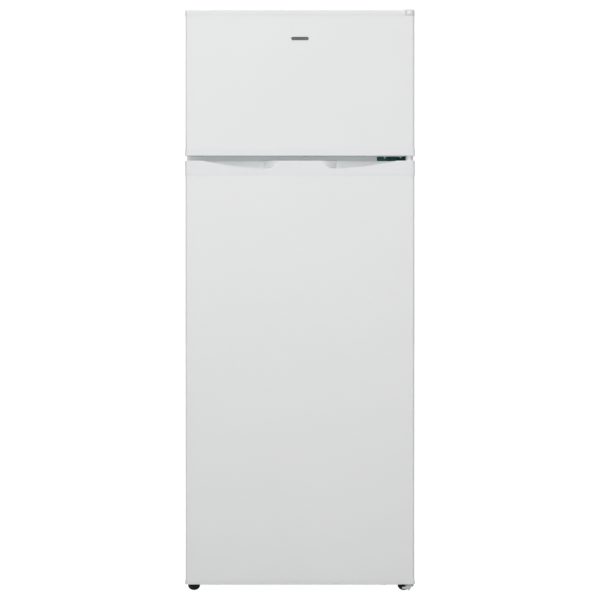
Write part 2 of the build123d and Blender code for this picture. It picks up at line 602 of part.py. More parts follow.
# ---------------------------------------------------------------- inside the freezer compartment
with BuildPart() as freezer_wire_shelf:
    with BuildSketch(Plane.XZ.offset(186.0)) as long_wires:
        with Locations(*[(i * 23.5, WIRE_SHELF + 0.9) for i in range(-8, 9)]):
            Circle(1.4)
    extrude(long_wires.sketch, amount=-360.0)
    for y in (-186.0, 174.0):
        rod((-214, y, WIRE_SHELF), (214, y, WIRE_SHELF), 2.5)
    rod((-211, -6.0, WIRE_SHELF - 0.7), (211, -6.0, WIRE_SHELF - 0.7), 1.8)
    for s in (-1, 1):
        rod((s * 211.5, -186.0, WIRE_SHELF), (s * 211.5, 174.0, WIRE_SHELF), 2.4)
save(freezer_wire_shelf.part, "freezer_wire_shelf")


# ================================================================ FREEZER DOOR
def door_panel(z0, z1):
    """Steel front: one sheet folded back along both sides."""
    door_block(PANEL_HALF, Y_PANEL, Y_PAN, z0, z1, 6.0)
    door_block(PANEL_HALF - SHEET, Y_PANEL + SHEET, Y_PAN + 5, z0 - 1, z1 + 1, 6.0 - SHEET, Mode.SUBTRACT)


def door_liner(z0, z1, half, rim_z0, rim_z1, rim):
    """Inner door skin: flat flange for the gasket and a raised rim that reaches into the cabinet."""
    slab(-PANEL_HALF, PANEL_HALF, Y_PAN, Y_SEAL, z0 + 1, z1 - 1, 5)
    ring(half, rim_z0, rim_z1, rim, 16.0, Y_SEAL, -205.0, r_in=9.0)


def lugs(levels, x_in, x_out, mode=Mode.ADD):
    """Small supports on the rim's inner sides, just under the ends of the bins."""
    for z in levels:
        for s in (-1, 1):
            x0, x1 = sorted((s * x_in, s * x_out))
            slab(x0, x1, Y_SEAL - 0.5, -214.0, z - 8, z - 0.3, mode=mode)


def gasket(z0, z1):
    """Magnetic seal: foot, narrow bellows and the soft head that meets the cabinet."""
    ring(259.0, z0, z1, 16.0, 9.0, Y_SEAL, -233.4, r_in=3.0)
    ring(256.5, z0 + 2.5, z1 - 2.5, 9.5, 7.0, -233.4, -229.6, r_in=2.0)
    ring(258.0, z0 + 1, z1 - 1, 13.0, 8.0, -229.6, Y_CAB - 0.3, r_in=3.0)


with BuildPart() as freezer_door_panel:
    door_panel(FZ_Z0 + FZ_CAP_BOT, FZ_Z1 - FZ_CAP_TOP)
save(freezer_door_panel.part, "freezer_door_panel")

INNER = PANEL_HALF - SHEET
with BuildPart() as freezer_door_top_cap:
    door_block(CAP_HALF, Y_FRONT, Y_PAN, FZ_Z1 - FZ_CAP_TOP, FZ_Z1, 6.5)
    fillet(
        freezer_door_top_cap.faces().sort_by(Axis.Z)[-1].edges().filter_by(
            lambda e: e.center().Y < Y_PAN - 0.5
        ),
        3.0,
    )
    door_block(INNER, Y_PANEL + SHEET, Y_PAN, FZ_Z1 - FZ_CAP_TOP - SPIGOT - 6, FZ_Z1 - FZ_CAP_TOP, 6.0 - SHEET)
    plate(-240, 240, -279, -243, FZ_Z1 - 40, FZ_Z1 - 4, 3, Mode.SUBTRACT)
    plate(PIN_X - NOSE_R - 0.5, 280, PIN_Y, -230, FZ_Z1 - FZ_CAP_TOP, FZ_Z1 + 1, mode=Mode.SUBTRACT)  # seat of the hinge cover
    post(PIN_X, PIN_Y, FZ_Z1 - FZ_CAP_TOP, FZ_Z1 + 1, NOSE_R + 0.5, Mode.SUBTRACT)
    plate(252.5, 280, -290, PIN_Y + 1, FZ_Z1 - FZ_CAP_TOP, FZ_Z1 + 1, mode=Mode.SUBTRACT)
    post(PIN_X, PIN_Y, FZ_Z1 - 40, FZ_Z1, BUSH_R, Mode.SUBTRACT)
save(freezer_door_top_cap.part, "freezer_door_top_cap")

with BuildPart() as freezer_door_bottom_cap:  # its lower edge is the freezer's grip
    door_block(CAP_HALF, Y_FRONT, Y_PAN, FZ_Z0, FZ_Z0 + FZ_CAP_BOT, 6.5)
    fillet(
        freezer_door_bottom_cap.faces().sort_by(Axis.Z)[0].edges().filter_by(
            lambda e: e.center().Y < Y_PAN - 0.5
        ),
        2.0,
    )
    door_block(INNER, Y_PANEL + SHEET, Y_PAN, FZ_Z0 + FZ_CAP_BOT, FZ_Z0 + FZ_CAP_BOT + SPIGOT, 6.0 - SHEET)
    plate(-240, 240, -279, -243, FZ_Z0 + 14, FZ_Z0 + 40, 3, Mode.SUBTRACT)
    post(PIN_X, PIN_Y, FZ_Z0 - 1, FZ_Z0 + 40, BUSH_R, Mode.SUBTRACT)
save(freezer_door_bottom_cap.part, "freezer_door_bottom_cap")

FZ_RIM = (208.0, 1077.0, 1328.0, 20.0)
FZ_BINS = (1106.0, 1218.0)
with BuildPart() as freezer_door_liner:
    door_liner(FZ_Z0, FZ_Z1, *FZ_RIM)
    fillet(
        freezer_door_liner.faces().sort_by(Axis.Y)[-1].edges(),
        3.0,
    )
    ring(FZ_RIM[0] - 1.5, FZ_RIM[1] + 1.5, FZ_RIM[2] - 1.5, 17.0, 14.5, Y_PAN - 1, -206.5, Mode.SUBTRACT, 9.5)
    lugs(FZ_BINS, 181.0, 188.4)
    plate(PIN_X - 14, 280, -245, -230, FZ_Z1 - FZ_CAP_TOP, FZ_Z1 + 1, mode=Mode.SUBTRACT)
save(freezer_door_liner.part, "freezer_door_liner")

with BuildPart() as freezer_door_foam:
    door_block(
        INNER, Y_PANEL + SHEET, Y_PAN, FZ_Z0 + FZ_CAP_BOT + SPIGOT, FZ_Z1 - FZ_CAP_TOP - SPIGOT - 6, 6.0 - SHEET
    )
    ring(FZ_RIM[0] - 1.5, FZ_RIM[1] + 1.5, FZ_RIM[2] - 1.5, 17.0, 14.5, Y_PAN, -206.5, r_in=9.5)
    lugs(FZ_BINS, 181.0, 188.4, Mode.SUBTRACT)
save(freezer_door_foam.part, "freezer_door_foam")

with BuildPart() as freezer_door_gasket:
    gasket(1051.0, 1376.0)
save(freezer_door_gasket.part, "freezer_door_gasket")

with BuildPart() as freezer_door_bushings:
    for z0, z1 in ((FZ_Z1 - FZ_CAP_TOP - 18, FZ_Z1 - FZ_CAP_TOP), (FZ_Z0, FZ_Z0 + 20)):
        post(PIN_X, PIN_Y, z0, z1, BUSH_R)
    post(PIN_X, PIN_Y, MID_Z + MID_T / 2 + 0.3, FZ_Z0, COLLAR_R)  # collar that rests on the hinge arm
    for z0, z1 in ((FZ_Z1 - FZ_CAP_TOP - 18, FZ_Z1 - FZ_CAP_TOP), (MID_Z, FZ_Z0 + 20)):
        post(PIN_X, PIN_Y, z0 - 1, z1 + 1, BUSH_IN, Mode.SUBTRACT)
save(freezer_door_bushings.part, "freezer_door_bushings")


def door_bin(half, z0, height, y_in):
    """Clear door bin: the wall towards the food stands full height, the wall at the door is cut down."""
    tray(-half, half, Y_SEAL + 0.5, y_in, z0, z0 + height, 2.4, 12.0)
    slab(-half + 16, half - 16, Y_SEAL, Y_SEAL + 5, z0 + height * 0.45, z0 + height + 1, 6, Mode.SUBTRACT)
    slab(-half + 10, half - 10, y_in, y_in + 3.0, z0 + height - 14, z0 + height - 4, 3)


with BuildPart() as freezer_door_bins:
    for z in FZ_BINS:
        door_bin(187.0, z, 58.0, -175.0)
save(freezer_door_bins.part, "freezer_door_bins")

with BuildPart() as badge:  # blank nameplate
    slab(-21.0, 21.0, Y_FRONT, Y_PANEL, 1324.5, 1332.5, 3.9)
save(badge.part, "badge")

# ================================================================ FRIDGE DOOR
with BuildPart() as fridge_door_panel:
    door_panel(FR_Z0 + FR_CAP_BOT, FR_Z1 - FR_CAP_TOP)
save(fridge_door_panel.part, "fridge_door_panel")

# Outline of one grip seen from the front, from its outer tip to its inner end, as (distance from the middle, height).
GRIP_FRONT = [
    (233.0, 1036.5),
    (207.2, 1031.6),
    (176.3, 1026.0),
    (153.8, 1022.8),
    (138.8, 1021.2),
    (114.8, 1019.4),
    (98.0, 1018.1),
    (82.1, 1017.3),
]
GRIP_NOSE = [(82.1, 1017.3), (70.5, 1018.9), (60.4, 1024.8), (54.4, 1031.4), (50.0, 1037.0)]
GRIP_BACK = [
    (231.0, 1036.5),
    (205.0, 1032.2),
    (176.3, 1027.2),
    (153.8, 1024.0),
    (138.8, 1022.2),
    (116.0, 1020.4),
    (101.0, 1019.3),
    (88.0, 1018.8),
]
GRIP_Y = -263.0

with BuildPart() as fridge_door_top_cap:
    door_block(CAP_HALF, Y_FRONT, Y_PAN, FR_Z1 - FR_CAP_TOP, FR_Z1, 6.5)
    fillet(
        fridge_door_top_cap.faces().sort_by(Axis.Z)[-1].edges().filter_by(
            lambda e: e.center().Y < Y_PAN - 0.5
        ),
        1.6,
    )
    door_block(INNER, Y_PANEL + SHEET, Y_PAN, FR_Z1 - FR_CAP_TOP - SPIGOT, FR_Z1 - FR_CAP_TOP, 6.0 - SHEET)
    plate(-240, 240, -279, -243, FR_Z1 - 60, FR_Z1 - 31, 3, Mode.SUBTRACT)
    for s in (-1, 1):  # two hollows for the fingers, deepest towards the middle
        with BuildSketch(Plane.XZ.offset(-Y_FRONT + 0.5)) as mouth:
            with BuildLine():
                Spline(*[(s * x, z) for x, z in GRIP_FRONT])
                Spline(*[(s * x, z) for x, z in GRIP_NOSE])
                Polyline(
                    (s * GRIP_NOSE[-1][0], GRIP_NOSE[-1][1]),
                    (s * GRIP_NOSE[-1][0], FR_Z1 + 6),
                    (s * GRIP_FRONT[0][0], FR_Z1 + 6),
                    (s * GRIP_FRONT[0][0], GRIP_FRONT[0][1]),
                )
            make_face()
        with BuildSketch(Plane.XZ.offset(-GRIP_Y)) as back:
            with BuildLine():
                Spline(*[(s * x, z) for x, z in GRIP_BACK])
                Polyline(
                    (s * GRIP_BACK[-1][0], GRIP_BACK[-1][1]),
                    (s * GRIP_BACK[-1][0], FR_Z1 + 0.5),
                    (s * GRIP_BACK[-1][0], FR_Z1 + 6),
                    (s * GRIP_BACK[0][0], FR_Z1 + 6),
                    (s * GRIP_BACK[0][0], GRIP_BACK[0][1]),
                )
            make_face()
        loft(sections=[mouth.sketch.faces()[0], back.sketch.faces()[0]], ruled=True, mode=Mode.SUBTRACT)
        x0, x1 = sorted((s * 182.0, s * 96.0))
        plate(x0, x1, -278.5, GRIP_Y, FR_Z1 - 26.0, FR_Z1 - 4.0, 6, Mode.SUBTRACT)  # hook behind the lip
    post(PIN_X, PIN_Y, FR_Z1 - 60, FR_Z1 + 1, BUSH_R, Mode.SUBTRACT)
save(fridge_door_top_cap.part, "fridge_door_top_cap")

with BuildPart() as fridge_door_bottom_cap:
    door_block(CAP_HALF, Y_FRONT, Y_PAN, FR_Z0, FR_Z0 + FR_CAP_BOT, 6.5)
    fillet(
        fridge_door_bottom_cap.faces().sort_by(Axis.Z)[0].edges().filter_by(
            lambda e: e.center().Y < Y_PAN - 0.5
        ),
        2.0,
    )
    door_block(INNER, Y_PANEL + SHEET, Y_PAN, FR_Z0 + FR_CAP_BOT, FR_Z0 + FR_CAP_BOT + 16, 6.0 - SHEET)
    plate(-240, 240, -279, -243, FR_Z0 + 4, FR_Z0 + 60, 3, Mode.SUBTRACT)
    post(PIN_X, PIN_Y, FR_Z0 - 1, FR_Z0 + 60, BUSH_R, Mode.SUBTRACT)
save(fridge_door_bottom_cap.part, "fridge_door_bottom_cap")

FR_RIM = (218.0, 74.0, 1005.0, 20.0)
BINS = (520.0, 800.0)
BOTTLE_BIN = 106.0
with BuildPart() as fridge_door_liner:
    door_liner(FR_Z0, FR_Z1, *FR_RIM)
    fillet(
        fridge_door_liner.faces().sort_by(Axis.Y)[-1].edges(),
        3.0,
    )
    ring(FR_RIM[0] - 1.5, FR_RIM[1] + 1.5, FR_RIM[2] - 1.5, 17.0, 14.5, Y_PAN - 1, -206.5, Mode.SUBTRACT, 9.5)
    lugs((*BINS, BOTTLE_BIN), 191.0, 198.4)
save(fridge_door_liner.part, "fridge_door_liner")

with BuildPart() as fridge_door_foam:
    door_block(INNER, Y_PANEL + SHEET, Y_PAN, FR_Z0 + FR_CAP_BOT + 16, FR_Z1 - FR_CAP_TOP - SPIGOT, 6.0 - SHEET)
    ring(FR_RIM[0] - 1.5, FR_RIM[1] + 1.5, FR_RIM[2] - 1.5, 17.0, 14.5, Y_PAN, -206.5, r_in=9.5)
    lugs((*BINS, BOTTLE_BIN), 191.0, 198.4, Mode.SUBTRACT)
save(fridge_door_foam.part, "fridge_door_foam")

with BuildPart() as fridge_door_gasket:
    gasket(38.0, 1033.5)
save(fridge_door_gasket.part, "fridge_door_gasket")

with BuildPart() as fridge_door_bushings:
    for z0, z1 in ((FR_Z1 - 22, FR_Z1), (FR_Z0, FR_Z0 + 22)):
        post(PIN_X, PIN_Y, z0, z1, BUSH_R)
    post(PIN_X, PIN_Y, FR_Z1, MID_Z - MID_T / 2 - 0.3, COLLAR_R)  # collar just under the hinge arm
    for z0, z1 in ((FR_Z1 - 22, MID_Z), (FR_Z0, FR_Z0 + 22)):
        post(PIN_X, PIN_Y, z0 - 1, z1 + 1, BUSH_IN, Mode.SUBTRACT)
save(fridge_door_bushings.part, "fridge_door_bushings")

with BuildPart() as fridge_door_bins:
    for z in BINS:
        door_bin(197.0, z, 72.0, -163.0)
save(fridge_door_bins.part, "fridge_door_bins")

with BuildPart() as bottle_bin:
    door_bin(197.0, BOTTLE_BIN, 118.0, -163.0)
save(bottle_bin.part, "bottle_bin")

with BuildPart() as egg_tray:
    plate(-150, 150, -231, -169, BINS[1] + 2.6, BINS[1] + 26, 8)
    with BuildSketch(Plane.XY.offset(BINS[1] + 26)) as nests:
        with Locations((0, -200)):
            with GridLocations(49.0, 1.0, 6, 1):
                Circle(21.5)
    extrude(nests.sketch, amount=-20.0, taper=22, mode=Mode.SUBTRACT)
save(egg_tray.part, "egg_tray")

# ================================================================ FEET AND ROLLERS
for name, (x, y) in (("left_foot", FOOT_L), ("right_foot", FOOT_RIGHT)):
    with BuildPart() as foot:  # screw-in levelling foot
        with BuildSketch(Plane.XZ) as half_foot:
            with BuildLine():
                Polyline(
                    (0, 0),
                    (4.5, 0),
                    (8.4, 1.5),
                    (11.2, 3.6),
                    (13.2, 6.2),
                    (FOOT_R, 9.0),
                    (FOOT_R, FOOT_H - 1.5),
                    (FOOT_R - 1.5, FOOT_H),
                    (STUD_R, FOOT_H),
                    (STUD_R, 44.0),
                    (STUD_R - 1, 45.0),
                    (0, 45.0),
                    close=True,
                )
            make_face()
        body = revolve(half_foot.sketch, axis=Axis.Z, mode=Mode.PRIVATE)
        with Locations((x, y, 0)):
            add(body)
    save(foot.part, name)

for name, s in (("left_roller", -1), ("right_roller", 1)):
    with BuildPart() as roller:
        x = s * ROLLER_X
        rod((x - ROLLER_W / 2, ROLLER_Y, ROLLER_R), (x + ROLLER_W / 2, ROLLER_Y, ROLLER_R), ROLLER_R)
        chamfer(roller.edges().filter_by(GeomType.CIRCLE), 1.2)
        rod((x - 12, ROLLER_Y, ROLLER_R), (x + 12, ROLLER_Y, ROLLER_R), 2.56, Mode.SUBTRACT)
    save(roller.part, name)
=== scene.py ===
import bpy, bmesh, json, math
from mathutils import Vector, Matrix, noise


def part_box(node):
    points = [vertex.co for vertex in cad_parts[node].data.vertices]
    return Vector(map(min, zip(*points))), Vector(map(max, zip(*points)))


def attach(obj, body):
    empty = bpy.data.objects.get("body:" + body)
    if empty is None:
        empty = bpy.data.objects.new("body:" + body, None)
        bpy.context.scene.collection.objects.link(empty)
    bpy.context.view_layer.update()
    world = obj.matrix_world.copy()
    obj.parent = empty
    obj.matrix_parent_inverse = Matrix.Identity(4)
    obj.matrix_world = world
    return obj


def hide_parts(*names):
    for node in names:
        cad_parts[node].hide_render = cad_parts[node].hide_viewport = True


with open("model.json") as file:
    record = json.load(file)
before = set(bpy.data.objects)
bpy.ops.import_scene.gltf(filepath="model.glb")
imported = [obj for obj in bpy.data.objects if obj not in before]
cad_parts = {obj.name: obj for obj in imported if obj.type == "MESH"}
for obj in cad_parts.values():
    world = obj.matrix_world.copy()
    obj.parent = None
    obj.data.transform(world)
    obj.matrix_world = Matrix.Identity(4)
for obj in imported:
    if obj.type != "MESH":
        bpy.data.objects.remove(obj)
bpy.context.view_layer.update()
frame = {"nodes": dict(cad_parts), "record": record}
NODES = frame["nodes"]
MM = 0.001
scene = bpy.context.scene
SKY_LOW, SKY_SIDE, SKY_TOP = 0.22, 0.06, 0.42  # sky brightness: horizon, loss to the sides, gain overhead
KEY, TOP, FILL, FLOOR = 22.6, 19.5, 25.6, 0.17  # lamps in watts, floor glow

# ------------------------------------------------------------------ materials


class Mat:
    """A Principled material whose colour, roughness and relief come from procedural nodes."""

    def __init__(self, name, color, rough=0.4, metallic=0.0, **sockets):
        self.m = bpy.data.materials.new(name)
        self.m.use_nodes = True
        self.nt = self.m.node_tree
        self.nt.nodes.clear()
        self.out = self.new("ShaderNodeOutputMaterial")
        self.b = self.new("ShaderNodeBsdfPrincipled")
        self.nt.links.new(self.b.outputs[0], self.out.inputs[0])
        self.b.inputs["Base Color"].default_value = (*color, 1.0)
        self.b.inputs["Roughness"].default_value = rough
        self.b.inputs["Metallic"].default_value = metallic
        for k, v in sockets.items():
            self.b.inputs[k.replace("_", " ")].default_value = v
        self.color, self.rough = color, rough
        self.coord = self.new("ShaderNodeTexCoord")
        self.normal = None
        self.m.diffuse_color = (*color, 1.0)

    def new(self, kind):
        return self.nt.nodes.new(kind)

    def link(self, a, b):
        self.nt.links.new(a, b)

    def noise(self, scale, detail=3.0, rough=0.5, stretch=None, distortion=0.0):
        n = self.new("ShaderNodeTexNoise")
        n.inputs["Scale"].default_value = scale
        n.inputs["Detail"].default_value = detail
        n.inputs["Roughness"].default_value = rough
        n.inputs["Distortion"].default_value = distortion
        self._place(n, stretch)
        return n.outputs["Fac"]

    def voronoi(self, scale, feature="F1", out="Distance", stretch=None, randomness=1.0):
        n = self.new("ShaderNodeTexVoronoi")
        n.feature = feature
        n.inputs["Scale"].default_value = scale
        n.inputs["Randomness"].default_value = randomness
        self._place(n, stretch)
        return n.outputs[out]

    def wave(self, scale, axis="X", kind="BANDS", distortion=0.0, profile="SIN", stretch=None):
        n = self.new("ShaderNodeTexWave")
        n.wave_type = kind
        n.bands_direction = axis
        n.wave_profile = profile
        n.inputs["Scale"].default_value = scale
        n.inputs["Distortion"].default_value = distortion
        self._place(n, stretch)
        return n.outputs["Fac"]

    def _place(self, n, stretch):
        if stretch:
            mp = self.new("ShaderNodeMapping")
            mp.inputs["Scale"].default_value = stretch
            self.link(self.coord.outputs["Object"], mp.inputs["Vector"])
            self.link(mp.outputs[0], n.inputs["Vector"])
        else:
            self.link(self.coord.outputs["Object"], n.inputs["Vector"])

    def remap(self, value, lo, hi, a=0.0, b=1.0):
        r = self.new("ShaderNodeMapRange")
        r.inputs["From Min"].default_value = lo
        r.inputs["From Max"].default_value = hi
        r.inputs["To Min"].default_value = a
        r.inputs["To Max"].default_value = b
        self.link(value, r.inputs["Value"])
        return r.outputs[0]

    def tint(self, value, low, high, lo=0.3, hi=0.7):
        """Base colour runs from low to high as value goes from lo to hi."""
        ramp = self.new("ShaderNodeValToRGB")
        ramp.color_ramp.elements[0].position = lo
        ramp.color_ramp.elements[0].color = (*low, 1.0)
        ramp.color_ramp.elements[1].position = hi
        ramp.color_ramp.elements[1].color = (*high, 1.0)
        self.link(value, ramp.inputs[0])
        self.link(ramp.outputs[0], self.b.inputs["Base Color"])
        return self

    def gloss(self, value, a, b, lo=0.3, hi=0.7):
        self.link(self.remap(value, lo, hi, a, b), self.b.inputs["Roughness"])
        return self

    def relief(self, value, depth, strength=1.0):
        """Adds a bump layer; depth in metres."""
        n = self.new("ShaderNodeBump")
        n.inputs["Strength"].default_value = strength
        n.inputs["Distance"].default_value = depth
        self.link(value, n.inputs["Height"])
        if self.normal:
            self.link(self.normal, n.inputs["Normal"])
        self.normal = n.outputs[0]
        self.link(self.normal, self.b.inputs["Normal"])
        return self


def scale_col(c, k):
    return tuple(min(1.0, x * k) for x in c)


M = {}


def add_mat(key, m):
    M[key] = m.m
    return m


WHITE = (0.735, 0.738, 0.740)
m = Mat("enamel_white", WHITE, 0.34, Specular_IOR_Level=0.45)
m.tint(m.noise(2.2, 3), scale_col(WHITE, 0.988), scale_col(WHITE, 1.008))
m.gloss(m.noise(38, 4), 0.31, 0.38)
m.relief(m.noise(620, 2, 0.4), 0.00006, 0.35)
m.relief(m.noise(7, 2), 0.0006, 0.25)
add_mat("white_panel", m)

CAP = (0.715, 0.722, 0.728)
m = Mat("cap_plastic", CAP, 0.40, Specular_IOR_Level=0.42)
m.tint(m.noise(5, 3), scale_col(CAP, 0.985), scale_col(CAP, 1.01))
m.gloss(m.noise(90, 3), 0.36, 0.45)
m.relief(m.voronoi(2600), 0.00005, 0.25)
m.relief(m.noise(14, 2), 0.0003, 0.2)
add_mat("white_cap", m)

LINER = (0.80, 0.81, 0.815)
m = Mat("liner_polystyrene", LINER, 0.28, Specular_IOR_Level=0.5)
m.tint(m.noise(3, 2), scale_col(LINER, 0.992), scale_col(LINER, 1.004))
m.gloss(m.noise(60, 3), 0.30, 0.36)
m.relief(m.noise(5, 1), 0.0008, 0.12)
m.relief(m.noise(900, 2), 0.00004, 0.2)
add_mat("liner_white", m)

GASKET = (0.66, 0.69, 0.69)
m = Mat("gasket_vinyl", GASKET, 0.62, Specular_IOR_Level=0.35)
m.tint(m.noise(60, 4), scale_col(GASKET, 0.95), scale_col(GASKET, 1.04))
m.gloss(m.noise(220, 3), 0.55, 0.72)
m.relief(m.noise(1500, 3), 0.00007, 0.4)
add_mat("gasket_grey", m)

FOAM = (0.72, 0.60, 0.34)
m = Mat("rigid_foam", FOAM, 0.95, Specular_IOR_Level=0.1)
m.tint(m.noise(120, 5), scale_col(FOAM, 0.86), scale_col(FOAM, 1.08))
m.gloss(m.noise(300, 2), 0.9, 1.0)
m.relief(m.voronoi(1400), 0.0004, 0.7)
add_mat("foam", m)

GALV = (0.50, 0.52, 0.53)
m = Mat("galvanised_sheet", GALV, 0.42, 0.85)
m.tint(m.voronoi(95, out="Color"), scale_col(GALV, 0.84), scale_col(GALV, 1.10), 0.2, 0.8)
m.gloss(m.voronoi(95), 0.36, 0.54, 0.0, 0.6)
m.relief(m.noise(240, 3), 0.00005, 0.3)
add_mat("galvanised_steel", m)

ZINC = (0.70, 0.71, 0.70)
m = Mat("zinc_plate", ZINC, 0.34, 0.8)
m.tint(m.noise(70, 4), (0.60, 0.64, 0.65), (0.80, 0.83, 0.84))
m.gloss(m.noise(180, 4), 0.22, 0.42)
m.relief(m.noise(700, 3), 0.00008, 0.35)
add_mat("zinc_steel", m)

TEAL = (0.019, 0.082, 0.072)
m = Mat("passivated_steel", TEAL, 0.38, 0.35)
m.tint(m.noise(80, 4), scale_col(TEAL, 0.65), scale_col(TEAL, 1.7))
m.gloss(m.noise(160, 3), 0.3, 0.5)
m.relief(m.noise(500, 3), 0.00008, 0.3)
add_mat("teal_steel", m)

RAIL = (0.71, 0.765, 0.765)
m = Mat("rail_enamel", RAIL, 0.36)
m.tint(m.noise(6, 3), scale_col(RAIL, 0.98), scale_col(RAIL, 1.01))
m.gloss(m.noise(40, 3), 0.32, 0.42)
m.relief(m.noise(620, 2), 0.00006, 0.3)
add_mat("cabinet_strip", m)

BLACK = (0.012, 0.012, 0.013)
m = Mat("black_enamel", BLACK, 0.36)
m.tint(m.noise(45, 5), (0.009, 0.009, 0.010), (0.028, 0.027, 0.026), 0.45, 0.8)
m.gloss(m.noise(60, 4), 0.28, 0.5)
m.relief(m.noise(420, 3), 0.0001, 0.35)
add_mat("black_enamel", m)

m = Mat("black_moulded", (0.02, 0.02, 0.021), 0.5)
m.tint(m.noise(70, 4), (0.014, 0.014, 0.015), (0.032, 0.032, 0.033))
m.gloss(m.noise(150, 3), 0.42, 0.6)
m.relief(m.voronoi(2400), 0.00007, 0.35)
add_mat("black_plastic", m)

m = Mat("black_rubber", (0.016, 0.016, 0.017), 0.75)
m.tint(m.noise(160, 4), (0.010, 0.010, 0.011), (0.034, 0.033, 0.032))
m.gloss(m.noise(240, 3), 0.62, 0.85)
m.relief(m.noise(900, 4), 0.00012, 0.5)
add_mat("black_rubber", m)

m = Mat("grey_polypropylene", (0.30, 0.31, 0.32), 0.52)
m.tint(m.noise(30, 4), (0.27, 0.28, 0.29), (0.33, 0.34, 0.35))
m.gloss(m.noise(90, 3), 0.45, 0.6)
m.relief(m.voronoi(2000), 0.00008, 0.3)
add_mat("grey_plastic", m)

ALU = (0.72, 0.73, 0.74)
m = Mat("rolled_aluminium", ALU, 0.34, 1.0)
m.tint(m.noise(120, 3, stretch=(0.03, 1, 1)), scale_col(ALU, 0.88), scale_col(ALU, 1.08))
m.gloss(m.noise(300, 3, stretch=(0.03, 1, 1)), 0.26, 0.42)
m.relief(m.noise(600, 2, stretch=(0.02, 1, 1)), 0.00005, 0.4)
add_mat("aluminium", m)

m = Mat("dulled_copper", (0.62, 0.30, 0.17), 0.34, 1.0)
m.tint(m.noise(48, 5), (0.44, 0.20, 0.11), (0.78, 0.44, 0.29), 0.3, 0.72)
m.gloss(m.noise(110, 4), 0.24, 0.5)
m.relief(m.noise(600, 3), 0.00006, 0.3)
add_mat("copper", m)

m = Mat("tempered_glass", (0.86, 0.95, 0.92), 0.03, Transmission_Weight=1.0, IOR=1.5)
m.tint(m.noise(3, 2), (0.85, 0.945, 0.915), (0.88, 0.96, 0.93))
m.gloss(m.noise(14, 3), 0.015, 0.05)
m.relief(m.noise(12, 2), 0.00003, 0.2)
add_mat("clear_glass", m)

m = Mat("bulb_glass", (0.95, 0.94, 0.91), 0.08, Transmission_Weight=0.75, IOR=1.45)
m.tint(m.noise(40, 2), (0.93, 0.92, 0.88), (0.97, 0.96, 0.94))
m.gloss(m.noise(60, 2), 0.05, 0.14)
add_mat("bulb_glass", m)

m = Mat("prismatic_lens", (0.90, 0.90, 0.88), 0.28, Transmission_Weight=0.55, IOR=1.5)
m.tint(m.noise(25, 2), (0.88, 0.88, 0.86), (0.93, 0.93, 0.91))
m.gloss(m.noise(60, 3), 0.22, 0.36)
m.relief(m.wave(260, "X"), 0.0006, 0.6)
add_mat("lens_clear", m)

WP = (0.76, 0.765, 0.77)
m = Mat("white_moulded", WP, 0.42)
m.tint(m.noise(12, 3), scale_col(WP, 0.98), scale_col(WP, 1.015))
m.gloss(m.noise(90, 3), 0.36, 0.5)
m.relief(m.voronoi(2200), 0.00006, 0.25)
add_mat("white_plastic", m)

m = Mat("clear_polystyrene", (0.95, 0.98, 0.985), 0.07, Transmission_Weight=0.94, IOR=1.45)
m.tint(m.noise(8, 3), (0.94, 0.972, 0.98), (0.96, 0.988, 0.992))
m.gloss(m.noise(40, 4), 0.04, 0.14)
m.relief(m.noise(26, 2), 0.0001, 0.25)
add_mat("clear_plastic", m)

m = Mat("coated_wire", (0.80, 0.80, 0.80), 0.4)
m.tint(m.noise(60, 3), (0.76, 0.76, 0.765), (0.83, 0.83, 0.83))
m.gloss(m.noise(120, 3), 0.34, 0.48)
m.relief(m.noise(900, 2), 0.00006, 0.3)
add_mat("white_wire", m)

m = Mat("badge_satin", (0.19, 0.205, 0.205), 0.36, 0.6)
m.tint(m.noise(400, 3, stretch=(0.05, 1, 1)), (0.165, 0.18, 0.18), (0.225, 0.24, 0.24))
m.gloss(m.noise(500, 3, stretch=(0.05, 1, 1)), 0.3, 0.44)
m.relief(m.noise(700, 2, stretch=(0.04, 1, 1)), 0.00004, 0.3)
add_mat("badge_silver", m)

SLOT = {s["node"]: s["material_slot"] for s in frame["record"]["subparts"]}
BODY = {n: b for b, ns in frame["record"]["behaviour"]["bodies"].items() for n in ns}
for name, obj in NODES.items():
    obj.data.materials.clear()
    obj.data.materials.append(M[SLOT[name]])

# ------------------------------------------------------------------ mesh tools


def place(name, me, body, mat_key, nodes=(), mats=None):
    """Puts a mesh in the scene, on its body and with its material; it may stand for CAD nodes."""
    o = bpy.data.objects.new(name, me)
    scene.collection.objects.link(o)
    me.materials.clear()
    for k in mats or [mat_key]:
        me.materials.append(M[k])
    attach(o, body)
    if nodes:
        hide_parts(*nodes)
    return o


def finish_shading(me, angle=38.0):
    """Smooth faces with edges kept crisp above the angle."""
    bm = bmesh.new()
    bm.from_mesh(me)
    lim = math.radians(angle)
    for f in bm.faces:
        f.smooth = True
    for e in bm.edges:
        e.smooth = not (len(e.link_faces) == 2 and e.calc_face_angle(0.0) > lim)
    bm.to_mesh(me)
    bm.free()


def weight_normals(o):
    mod = o.modifiers.new("even_shading", "WEIGHTED_NORMAL")
    mod.keep_sharp = True
    mod.weight = 80


def room(e):
    """Narrowest width of the two faces beside an edge, measured away from it."""
    out = 1.0
    along = (e.verts[1].co - e.verts[0].co).normalized()
    for f in e.link_faces:
        across = f.normal.cross(along)
        span = [v.co.dot(across) for v in f.verts]
        t = max(span) - min(span)
        if len(f.verts) > 4:
            around = sum(x.calc_length() for x in f.edges)
            t = min(t, 2 * f.calc_area() / max(around, 1e-9))
        out = min(out, t)
    return out


def round_edges(bm, edges, width, segments, profile):
    if edges:
        bmesh.ops.bevel(
            bm,
            geom=edges,
            offset=width,
            offset_type="OFFSET",
            segments=segments,
            profile=profile,
            affect="EDGES",
            clamp_overlap=True,
        )


